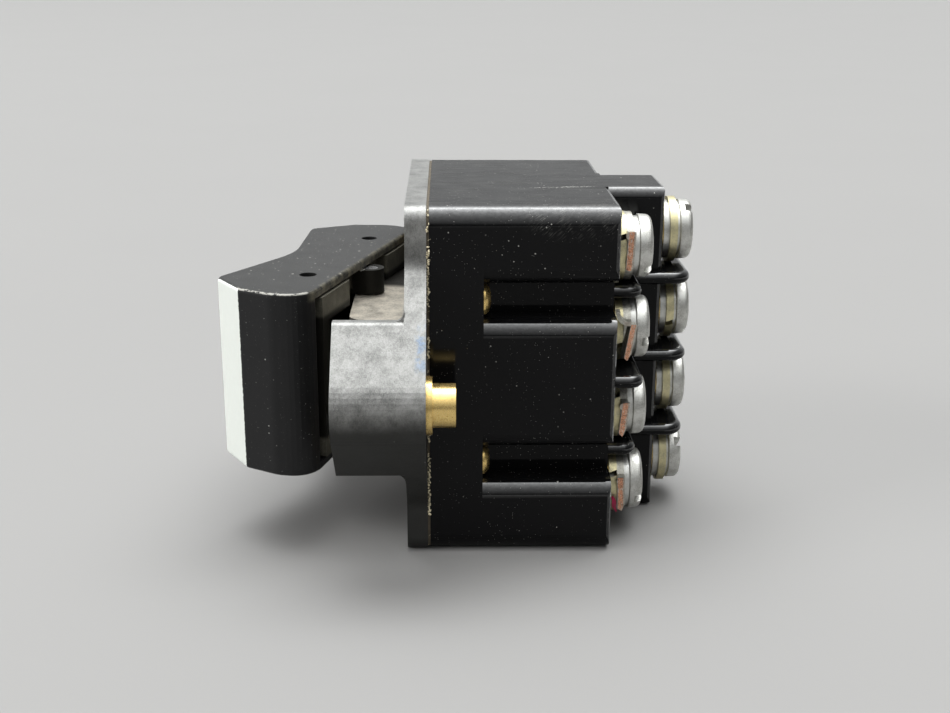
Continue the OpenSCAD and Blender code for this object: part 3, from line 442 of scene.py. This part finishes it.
def black_moulding(looks):
    """Glossy moulding with dust, scratches, a scuff and a hazy top, more polished along its edges."""
    f = Finish("black_moulding")
    top = f.z.rise(CASE_TOP - 0.3, CASE_TOP - 0.05)

    # Dust in three sizes, the finer two more in some places than in others
    strewn = f.noise(0.16, 3, 0.6).rise(0.40, 0.60)
    dust = f.specks(0.6, 0.12, 0.14).either(f.specks(1.7, 0.09, 0.25) * strewn * 0.8)
    dust = dust.either(f.specks(3.6, 0.05, 0.5) * (strewn * 0.5 + 0.2))

    # Fine slanted scratches over the rounded near top edge
    scratch_from, scratch_to = 21, 30.4
    near_edge = 1 - f.y.rise(2.05 - CASE_SIDE, 3.05 - CASE_SIDE)
    near_edge = near_edge * f.z.rise(CASE_TOP - 4, CASE_TOP - 2.2)
    near_edge = near_edge * f.x.within(scratch_from, scratch_to, 1.2)
    round_edge = f.y + f.z
    slant = f.start.node("ShaderNodeCombineXYZ", None,
                         {0: (f.x - round_edge) * 6.5, 1: (f.x + round_edge) * 0.6})
    lines = f.noise(1.0, 3, 0.6, slant).rise(0.50, 0.68)
    scratch = lines * near_edge * f.noise(0.7, 2, 0.5).rise(0.38, 0.55)

    # One long broken scuff on the top, a little askew
    scuff_from, scuff_to = 22.0, 29.3
    scuff_x, scuff_y, askew = 25.3, -5.1, 0.12
    off_line = f.y - scuff_y - (f.x - scuff_x) * askew + (f.noise(1.2, 2, 0.5) - 0.5) * 0.5
    scuff = (1 - abs(off_line).rise(0.05, 0.16)) * top * f.x.within(scuff_from, scuff_to, 0.5)
    scuff = scuff * f.noise(3.5, 3, 0.7).rise(0.42, 0.55)

    # Wiped haze on the top
    film = f.noise(1.0, 5, 0.65, f.stretched((0.22, 1.3, 1.3))).rise(0.42, 0.8)
    clouds = f.noise(0.28, 4, 0.6).rise(0.4, 0.75)
    streak = f.noise(1.0, 3, 0.6, f.stretched((0.12, 2.2, 2.2))).rise(0.5, 0.72)
    smears = f.noise(0.55, 3, 0.6, f.stretched((0.6, 1.5, 1))).rise(0.5, 0.68)
    haze = top * (film * 0.6 + clouds * 0.4 + streak * 0.5 + smears * 0.8) * 0.024

    body = haze.blend(looks.black, looks.dust)
    body = (dust * 0.7).either(scratch * 0.13).either(scuff * 0.6).blend(body, looks.dust)
    wave = f.noise(0.7, 4, 0.6) * 0.05
    rough = wave + (looks.gloss - 0.02) + top * (film * 0.16 + 0.10) + dust * 0.4 + scratch * 0.22
    height = f.noise(0.11, 2, 0.5) + dust * 0.02 - scratch * 0.01

    # Edges that don't face down are polished: there the normal lies between two axes
    to_x, to_y, to_z = f.start.node("ShaderNodeNewGeometry", out="Normal").axes()
    upright, level = abs(to_x * to_y), abs(to_z) * (abs(to_x) + abs(to_y))
    mottle = f.noise(2.2, 4, 0.75, f.stretched((1, 1.6, 1.6))).rise(0.3, 0.66) * 0.35 + 0.65
    polish = (upright * 0.6 + level).rise(0.02, 0.24) * to_z.rise(-0.1, 0.02) * mottle
    return f.close(body, rough, 0.0, height, 0.1, 0.4, Specular_IOR_Level=looks.reflection,
                   Coat_Weight=polish, Coat_IOR=1.65, Coat_Roughness=0.07)


def rocker_lines(f):
    """Height over the pivot and place along the cap, in millimetres, in the rocker's own lines."""
    across = f.x - PIVOT_X
    along = across * math.sin(REST_TILT) + f.y * math.cos(REST_TILT)
    height = f.y * math.sin(REST_TILT) - across * math.cos(REST_TILT)
    return height, along


def satin_cap(looks):
    """Satin black with painted end bands, a worn near edge, dust, and grime on the back of the rim."""
    f = Finish("satin_cap")
    height, along = rocker_lines(f)
    skin = f.noise(9, 4, 0.75)
    broad = f.noise(0.35, 4, 0.6)

    # The bands cover the slanted ends
    ragged = (f.noise(2.5, 3, 0.6) - 0.5) * 0.26
    slope = (END_FOOT_ALONG - END_TIP_ALONG) / (END_TIP_HEIGHT - END_FOOT_HEIGHT)
    end = abs(along) + (height - END_FOOT_HEIGHT) * slope
    band = end.rise(END_FOOT_ALONG - 0.21, END_FOOT_ALONG - 0.14)
    band = band * (height + ragged).within(looks.band_low / MM, looks.band_top / MM, 0.03)
    paint = f.noise(1.5, 4, 0.6).blend(dimmed(looks.band, 0.93), looks.band)

    # The upper edge of the near end is worn in a broken line, with one bright nick
    near_end = (height * 0.26 - along).rise(17.7, 18.1) * (1 - height.rise(8.9, 9.2))
    edge_z = f.z + (f.noise(3, 2, 0.5) - 0.5) * 0.12
    edge = edge_z.within(CAP_TOP - 0.22, CAP_TOP - 0.06, 0.05) * near_end
    rubbed = edge * f.noise(1.3, 4, 0.7).rise(0.40, 0.5)
    nick_along, nick_height = -19.6, 6.2
    beyond = along - nick_along
    from_spot = abs(height - nick_height) + beyond * beyond + abs(f.z - (CAP_TOP - 0.15))
    bright_spot = 1 - from_spot.rise(0.2, 0.45)

    flecks = f.specks(0.75, 0.25, 0.2).either(f.specks(1.9, 0.13, 0.2))
    flecks = flecks * f.z.rise(CAP_TOP - 0.2, CAP_TOP - 0.05)
    dust = f.specks(0.9, 0.12, 0.18).either(f.specks(2.3, 0.06, 0.3) * 0.8)
    dust = dust.either(f.specks(4.6, 0.035, 0.6) * 0.35)
    film = f.z.rise(CAP_TOP - 0.2, CAP_TOP - 0.04) * (broad * 0.5 + skin * 0.5) * 0.07
    back = (1 - height.rise(0.45, 0.9)) * f.z.rise(CAP_TOP - 1.5, CAP_TOP - 0.8)

    body = broad.blend(looks.black, dimmed(looks.black, 1.4))
    body = (back * f.noise(0.9, 4, 0.6).rise(0.3, 0.7) * 0.9).blend(body, looks.grime)
    body = (rubbed * 0.85).either(bright_spot * 0.9).either(flecks * 0.5).blend(body, looks.worn)
    body = (dust * 0.6).either(film).blend(body, looks.dust)
    rough = skin * 0.2 + 0.32 + band * 0.08
    return f.close(band.blend(body, paint), rough, 0.0, skin + band * 2, 0.012, 0.6,
                   Specular_IOR_Level=0.22)


def dark_bronze(looks):
    """Dark coated casting, with painted shade that makes it nearly black on the knuckles and between
    the cheeks.
    """
    f = Finish("dark_bronze")
    height, along = rocker_lines(f)
    clouds = f.noise(0.7, 5, 0.65)
    grain = f.noise(6, 4, 0.7)
    tone = (clouds + grain - 0.6).rise(0, 0.9)
    skin = tone.blend(looks.bronze, dimmed(looks.bronze, 2.2))
    # Painted shade: the knuckles and the space between the cheeks lie in the shade of the cap
    knuckle = (1 - height.rise(1.5, 2.1)) * (1 - abs(along).rise(1.8, 2.2))
    between = 1 - abs(f.z).rise(6.9, 7.5)
    skin = (knuckle.either(between) * 0.95).blend(skin, dimmed(looks.bronze, 0.1))
    # A bright spot on the top edge of the near knuckle
    spot_x, spot_y = 1.8, -1.12
    from_spot = abs(f.x - spot_x) + abs(f.y - spot_y) * 0.6 + abs(f.z - KNUCKLE_TOP)
    skin = (1 - from_spot.rise(0.3, 0.5)).blend(skin, looks.bright_spot)
    return f.close(skin, grain * 0.2 + 0.4, 0.45, grain, 0.02, 0.7, Specular_IOR_Level=0.2)


def plate(name, metal, film, share, rough):
    """Plated metal with a dull film over a share of it."""
    f = Finish(name)
    clouds = f.noise(0.9, 5, 0.68)
    grain = f.noise(11, 3, 0.75)
    tarnish_and_painted_reflection = ((clouds - 0.5) * 1.6 + (grain - 0.5) * 1.8 + share).rise(0.1, 0.9)
    rings = f.noise(1, 3, 0.6, f.stretched((14, 0.8, 0.8)))
    height = grain * 0.7 + rings * 0.3
    return f.close((tarnish_and_painted_reflection * 0.7).blend(metal, film), tarnish_and_painted_reflection * 0.22 + rough, 0.92, height, 0.015, 0.6)


def lug_metal(looks, number, turn, lean, bend, stub):
    """Tinned copper, bare on the cut end of its neck but for a rim of tin along the outer edge."""
    f = Finish(f"lug_metal_{number}")
    turn, lean, bend = [math.radians(angle) for angle in (turn, lean, bend)]
    clouds = f.noise(1.4, 5, 0.7)
    grain = f.noise(9, 4, 0.75)

    # Lines of the bent neck, from the middle of its terminal
    low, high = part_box(f"near_terminal_{number}")
    screw = (low + high) / (2 * MM)
    back, down, over = f.x - LUG_BACK, f.y - screw.y, f.z - screw.z
    along = down * -math.cos(turn) - over * math.sin(turn) - NECK_END
    across = over * math.cos(turn) - down * math.sin(turn)
    past = along * math.cos(bend) + back * math.sin(bend)
    depth = back * math.cos(bend) - along * math.sin(bend) - across * math.sin(lean)

    cut = (past + (clouds - 0.5) * 0.08).rise(stub - 0.05, stub + 0.03)
    front_rim = (depth + (grain - 0.5) * 0.3).rise(LUG_THICK - 0.10, LUG_THICK + 0.02)
    back_rim = 1 - (depth + (grain - 0.5) * 0.1).rise(0.02, 0.08)
    tin = (clouds + grain - 1).rise(-0.3, 0.4).blend(looks.tarnish, looks.tin)
    mottle = (clouds * 0.3 + grain * 0.7).rise(0.38, 0.58)
    bare = mottle.blend(dimmed(looks.copper, 0.22), looks.copper)
    smeared = f.noise(5, 3, 0.7, f.stretched((1.6, 1, 0.35))).rise(0.54, 0.62)
    bare = (smeared * 0.8).blend(bare, looks.tin)
    metal = (cut * (1 - front_rim.either(back_rim) * 0.9)).blend(tin, bare)
    return f.close(metal, grain * 0.25 + 0.3, 0.85, grain, 0.03, 0.8)


def matt(name, colour, rough, share=0.35, depth=0.01):
    """Plain moulded or pressed stuff, darker by up to that share in a fine mottle."""
    f = Finish(name)
    clouds = f.noise(0.8, 5, 0.65)
    grain = f.noise(8, 4, 0.7)
    mottle = (clouds * 0.6 + grain * 0.4).rise(0.3, 0.7)
    return f.close(mottle.blend(dimmed(colour, 1 - share), colour), grain * 0.15 + rough,
                   0.0, grain, depth, 0.6)


# Operators

class DressBracket(bpy.types.Operator):
    """Gives the cast bracket its mottled skin"""
    bl_idname = "rocker_switch.dress_bracket"
    bl_label = "Bracket"
    bl_options = {"REGISTER", "UNDO"}

    def execute(self, context):
        wear(["bracket"], cast_metal(context.scene.switch_looks.bracket))
        return {"FINISHED"}


class DressCase(bpy.types.Operator):
    """Gives the case its gloss, dust and scratches"""
    bl_idname = "rocker_switch.dress_case"
    bl_label = "Case"
    bl_options = {"REGISTER", "UNDO"}

    def execute(self, context):
        wear(["case"], black_moulding(context.scene.switch_looks.case))
        return {"FINISHED"}


class DressRocker(bpy.types.Operator):
    """Gives the rocker cap its bands and the lever its dark coat"""
    bl_idname = "rocker_switch.dress_rocker"
    bl_label = "Rocker"
    bl_options = {"REGISTER", "UNDO"}

    def execute(self, context):
        looks = context.scene.switch_looks.rocker
        wear(["rocker_cap"], satin_cap(looks))
        wear(["lever"], dark_bronze(looks))
        wear(["cap_pins"], matt("blackened_pin", looks.pins, 0.5))
        wear(["actuator_bar"], matt("brown_phenolic", looks.bar, 0.4))
        wear(numbered("plunger"), matt("ivory_nylon", looks.plungers, 0.35, 0.1))
        return {"FINISHED"}


class DressTerminals(bpy.types.Operator):
    """Gives screws, washers, lugs, inserts, rivets and contacts their metals"""
    bl_idname = "rocker_switch.dress_terminals"
    bl_label = "Terminals and fasteners"
    bl_options = {"REGISTER", "UNDO"}

    def execute(self, context):
        looks = context.scene.switch_looks.terminals
        wear(["terminal_screws"], plate("dull_nickel", looks.nickel, looks.tarnish, 0.4, 0.35))
        pale = plate("pale_nickel", looks.nickel, looks.tarnish, 0.25, 0.38)
        wear(["flat_washers", "head_washers"], pale)
        wear(["lock_washers"], plate("yellow_zinc", looks.yellow, looks.tarnish, 0.3, 0.36))
        steel = plate("bright_steel", looks.steel, looks.tarnish, 0.1, 0.22)
        wear(["pivot_pin", "bar_pin", *numbered("plunger_spring")], steel)
        brass = plate("turned_brass", looks.brass, looks.patina, 0.2, 0.26)
        wear(["mounting_insert_near", "mounting_insert_far", "case_rivets", *numbered("near_terminal"),
              *numbered("common_terminal"), *numbered("far_terminal")], brass)
        copper = plate("contact_copper", looks.copper, looks.tarnish, 0.1, 0.25)
        wear(numbered("moving_contact"), copper)
        for number, cut in enumerate(LUG_CUTS, 1):
            wear([f"cut_lug_{number}"], lug_metal(looks, number, *cut))
        return {"FINISHED"}


class CutThreads(bpy.types.Operator):
    """Cuts the threads of the two mounting inserts"""
    bl_idname = "rocker_switch.cut_threads"
    bl_label = "Insert threads"
    bl_options = {"REGISTER", "UNDO"}

    def execute(self, context):
        looks = context.scene.switch_looks.terminals
        brass = bpy.data.materials["turned_brass"]
        end_gap = 0.15 * MM
        for side in ("near", "far"):
            low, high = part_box(f"mounting_insert_{side}")
            middle = (low + high) / 2
            length = high.x - low.x - 2 * end_gap
            growth = Growth(f"insert_thread_{side}", [
                ("Turns", "Float", length / looks.thread_pitch), ("Length", "Float", length),
                ("Bore radius", "Float", looks.bore_radius), ("Crest", "Float", looks.thread_depth),
                ("Material", "Material", brass)])
            start, inputs = growth.start, growth.inputs
            helix = start.node("GeometryNodeCurveSpiral", None, {
                "Resolution": 28, "Rotations": inputs["Turns"], "Start Radius": inputs["Bore radius"],
                "End Radius": inputs["Bore radius"], "Height": inputs["Length"]})
            crest = start.node("GeometryNodeCurvePrimitiveCircle", {"mode": "RADIUS"},
                               {"Resolution": 4, "Radius": inputs["Crest"]})
            thread = start.node("GeometryNodeCurveToMesh", None, {
                "Curve": helix, "Profile Curve": crest, "Fill Caps": True})
            thread = start.node("GeometryNodeTransform", None, {
                "Geometry": thread, "Translation": (low.x + end_gap, middle.y, middle.z),
                "Rotation": (0, math.pi / 2, 0)})
            growth.grow(thread, bpy.data.meshes.new(f"thread_axis_{side}"), "housing")
        return {"FINISHED"}


class LeaveScrap(bpy.types.Operator):
    """Leaves a scrap of a wire's sleeve behind the lowest lug"""
    bl_idname = "rocker_switch.leave_scrap"
    bl_label = "Sleeve scrap"
    bl_options = {"REGISTER", "UNDO"}

    def execute(self, context):
        looks = context.scene.switch_looks.terminals
        top = Vector((31.62, -13.75, -15.0)) * MM
        foot = Vector((32.12, -13.85, -16.9)) * MM
        thick = 0.05 * MM
        rings = 12
        points = []

        # The scrap curls a little and is widest near its middle
        for ring in range(rings + 1):
            share = ring / rings
            curl = Vector((0.08 * math.sin(share * 7), -0.10 * math.sin(share * 4), 0)) * MM
            middle = top.lerp(foot, share) + curl
            wide = (0.10 + 0.16 * math.sin(math.pi * min(1, share * 1.15))) * MM
            for across, out in ((-wide, -thick), (wide, -thick * 2), (wide, thick), (-wide, thick)):
                points.append(middle + Vector((across, out, across * 0.3)))
        last = 4 * rings
        faces = [(0, 1, 2, 3), (last + 3, last + 2, last + 1, last)]
        for ring in range(rings):
            base = 4 * ring
            for corner in range(4):
                after = (corner + 1) % 4
                faces.append((base + corner, base + 4 + corner, base + 4 + after, base + after))
        mesh = bpy.data.meshes.new("sleeve_scrap")
        mesh.from_pydata(points, [], faces)
        mesh.materials.append(matt("torn_sleeve", looks.sleeve, 0.3, 0.5))
        piece = bpy.data.objects.new("sleeve_scrap", mesh)
        context.scene.collection.objects.link(piece)
        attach(piece, "housing")
        return {"FINISHED"}


class DressGasket(bpy.types.Operator):
    """Gives the gasket its tan edge"""
    bl_idname = "rocker_switch.dress_gasket"
    bl_label = "Gasket"
    bl_options = {"REGISTER", "UNDO"}

    def execute(self, context):
        looks = context.scene.switch_looks.gasket
        wear(["flange_gasket"], matt("tan_gasket", looks.tan, 0.7, 0.6, 0.05))
        return {"FINISHED"}


class ScatterCrumbs(bpy.types.Operator):
    """Scatters crumbs and frayed fibres of the gasket along its joint"""
    bl_idname = "rocker_switch.scatter_crumbs"
    bl_label = "Gasket crumbs"
    bl_options = {"REGISTER", "UNDO"}

    def execute(self, context):
        looks = context.scene.switch_looks.gasket
        growth = Growth("gasket_crumbs", [
            ("Crumbs", "Int", looks.crumbs), ("Crumb size", "Float", looks.crumb_size),
            ("Fibres", "Int", looks.fibres), ("Fibre length", "Float", 0.7 * MM),
            ("Bare share", "Float", 0.51), ("Seed", "Int", 5),
            ("Material", "Material", matt("gasket_crumbs", looks.crumb, 0.75, 0.6))])
        start, inputs = growth.start, growth.inputs
        line = start.node("GeometryNodeMeshToCurve", None, {0: inputs["Geometry"]})
        crumb = start.node("GeometryNodeMeshIcoSphere", None,
                           {"Radius": inputs["Crumb size"], "Subdivisions": 2})
        dent = 0.025 * MM
        crumb = start.node("GeometryNodeSetPosition", None, {
            "Geometry": crumb, "Offset": growth.spread((-dent,) * 3, (dent,) * 3, inputs["Seed"])})
        crumbs = self.strew(growth, line, inputs["Crumbs"], crumb, 0.35, 1.6, inputs["Bare share"])
        bend = start.node("GeometryNodeCurveQuadraticBezier", None, {
            "Resolution": 6, "Start": (0, 0, 0), "Middle": (0.25 * MM, 0.1 * MM, 0),
            "End": (0.3 * MM, 0.35 * MM, 0.1 * MM)})
        strand = start.node("GeometryNodeCurvePrimitiveCircle", {"mode": "RADIUS"},
                            {"Resolution": 5, "Radius": 0.016 * MM})
        fibre = start.node("GeometryNodeCurveToMesh", None, {
            "Curve": bend, "Profile Curve": strand, "Fill Caps": True})
        fibres = self.strew(growth, line, inputs["Fibres"], fibre, 0.5, 1.3, 0.4)
        growth.grow(growth.join(crumbs, fibres), self.joint_line(), "housing")
        return {"FINISHED"}

    def strew(self, growth, line, count, stuff, small, large, bare_share):
        """Copies of stuff along the line, in clusters with bare stretches between them."""
        start, seed = growth.start, growth.inputs["Seed"]
        reach = Vector((0.13, 0.09, 0.06)) * MM
        points = start.node("GeometryNodeCurveToPoints", {"mode": "COUNT"},
                            {"Curve": line, "Count": count})
        points = start.node("GeometryNodeSetPosition", None, {
            "Geometry": points, "Offset": growth.spread(-reach, reach, seed)})
        cluster = start.node("ShaderNodeTexNoise", None, {"Scale": 0.42 / MM, "Detail": 3.0})
        return start.node("GeometryNodeInstanceOnPoints", None, {
            "Points": points, "Instance": stuff,
            "Selection": cluster.math("GREATER_THAN", cluster, bare_share),
            "Rotation": growth.spread((0, 0, 0), (math.tau,) * 3, seed),
            "Scale": growth.spread((small,) * 3, (large,) * 3, seed)})

    def joint_line(self):
        """The edge of the gasket as one closed line, proud of its sides and sunk above and below."""
        middle = (GASKET_LOW.x + GASKET_HIGH.x) / 2
        proud, sunk = 0.17 * MM, 0.3 * MM
        half_y, half_z = GASKET_HIGH.y + proud, GASKET_HIGH.z - sunk
        turn, steps = 1.6 * MM, 4
        corners = []
        for a, b, quarter in ((1, 1, 0), (-1, 1, 1), (-1, -1, 2), (1, -1, 3)):
            for step in range(steps + 1):
                angle = math.pi / 2 * (quarter + step / steps)
                corners.append((middle, a * (half_y - turn) + turn * math.cos(angle),
                                b * (half_z - turn) + turn * math.sin(angle)))
        count = len(corners)
        mesh = bpy.data.meshes.new("joint_line")
        mesh.from_pydata(corners, [(one, (one + 1) % count) for one in range(count)], [])
        return mesh


class SetStage(bpy.types.Operator):
    """Sets the floor, the light and the camera"""
    bl_idname = "rocker_switch.set_stage"
    bl_label = "Stage"
    bl_options = {"REGISTER", "UNDO"}

    def execute(self, context):
        looks = context.scene.switch_looks.stage
        self.lay_floor(context, looks)
        self.set_side_light(context, looks)
        self.set_world(context, looks)
        self.set_camera(context, looks)
        context.scene.view_settings.view_transform = "Standard"
        return {"FINISHED"}

    def lay_floor(self, context, looks):
        """A wide pale floor at the lowest point of the switch."""
        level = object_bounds()[0].z
        half = 6.0
        mesh = bpy.data.meshes.new("floor")
        corners = [(a * half, b * half, level) for a, b in ((-1, -1), (1, -1), (1, 1), (-1, 1))]
        mesh.from_pydata(corners, [], [(0, 1, 2, 3)])
        f = Finish("pale_floor")
        tone = f.noise(0.02, 3, 0.5).blend(dimmed(looks.floor, 0.97), looks.floor)
        mesh.materials.append(f.close(tone, 0.75))
        floor = bpy.data.objects.new("floor", mesh)
        context.scene.collection.objects.link(floor)
        floor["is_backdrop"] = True

    def set_side_light(self, context, looks):
        """A soft square light on the rocker's side, aimed at the switch."""
        data = bpy.data.lights.new("side", "AREA")
        data.shape = "RECTANGLE"
        data.size = data.size_y = 0.8
        data.energy = looks.side_power
        light = bpy.data.objects.new("side", data)
        context.scene.collection.objects.link(light)
        place = Vector((-1.7, -0.55, 0.85))
        light.location = place
        light.rotation_euler = (-place).to_track_quat("-Z", "Y").to_euler()

    def set_world(self, context, looks):
        """A broad light overhead, steep at its back and soft towards the front, over a dim room."""
        world = bpy.data.worlds.new("studio")
        world.use_nodes = True
        world.node_tree.nodes.clear()
        start = Wire(world.node_tree)
        front_fall, back_fall = math.radians(24), math.radians(9)
        side, along, up = start.node("ShaderNodeTexCoord", out="Generated").axes()
        angle = up.math("ARCTAN2", up, along) - looks.sky_angle
        fall = (angle / front_fall).either(angle / -back_fall)
        sky = fall.math("EXPONENT", fall * -1) * (1 - abs(side).rise(0.25, 0.7)) * looks.sky
        wall = along.rise(-0.1, 0.75) * (1 - up.rise(0.35, 0.95)) * 0.45
        light = up.rise(-0.05, 0.9) * 0.28 + sky * up.rise(0, 0.25) + wall + 0.03
        tint = (0.985, 1.0, 1.005, 1)
        sky_shader = start.node("ShaderNodeBackground", None, {"Color": tint, "Strength": light})
        show(sky_shader, "ShaderNodeOutputWorld")
        context.scene.world = world

    def set_camera(self, context, looks):
        """The camera that the photo was taken with, from its place, angles and focal length."""
        flat = math.cos(looks.pitch)
        ahead = Vector((math.sin(looks.yaw) * flat, math.cos(looks.yaw) * flat, -math.sin(looks.pitch)))
        level = Vector((math.cos(looks.yaw), -math.sin(looks.yaw), 0))
        upright = level.cross(ahead)
        right = math.cos(looks.roll) * level + math.sin(looks.roll) * upright
        up = math.cos(looks.roll) * upright - math.sin(looks.roll) * level
        frame_width = 950
        data = bpy.data.cameras.new("camera")
        data.sensor_width = 36
        data.lens = looks.focus * data.sensor_width / frame_width
        data.clip_start = 0.005
        camera = bpy.data.objects.new("camera", data)
        context.scene.collection.objects.link(camera)
        turn = Matrix((right, up, -ahead)).transposed().to_4x4()
        camera.matrix_world = Matrix.Translation(looks.eye) @ turn
        context.scene.camera = camera


OPERATORS = [DressBracket, DressCase, DressRocker, DressTerminals, CutThreads, LeaveScrap, DressGasket,
             ScatterCrumbs, SetStage]


class SwitchLooks(bpy.types.PropertyGroup):
    """All that a user may set."""
    __annotations__ = {name: PointerProperty(type=group) for name, group in GROUPS.items()}


class SwitchPanel(bpy.types.Panel):
    """Lists the steps that dress the switch"""
    bl_idname = "VIEW3D_PT_rocker_switch"
    bl_label = "Rocker switch"
    bl_space_type = "VIEW_3D"
    bl_region_type = "UI"
    bl_category = "Switch"

    def draw(self, context):
        for operator in OPERATORS:
            self.layout.operator(operator.bl_idname)


CLASSES = [*GROUPS.values(), SwitchLooks, *OPERATORS, SwitchPanel]


def register():
    for each in CLASSES:
        bpy.utils.register_class(each)
    bpy.types.Scene.switch_looks = PointerProperty(type=SwitchLooks)


def unregister():
    del bpy.types.Scene.switch_looks
    for each in reversed(CLASSES):
        bpy.utils.unregister_class(each)


def main():
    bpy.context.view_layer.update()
    register()
    for operator in OPERATORS:
        group, name = operator.bl_idname.split(".")
        getattr(getattr(bpy.ops, group), name)()


if __name__ == "__main__":
    main()
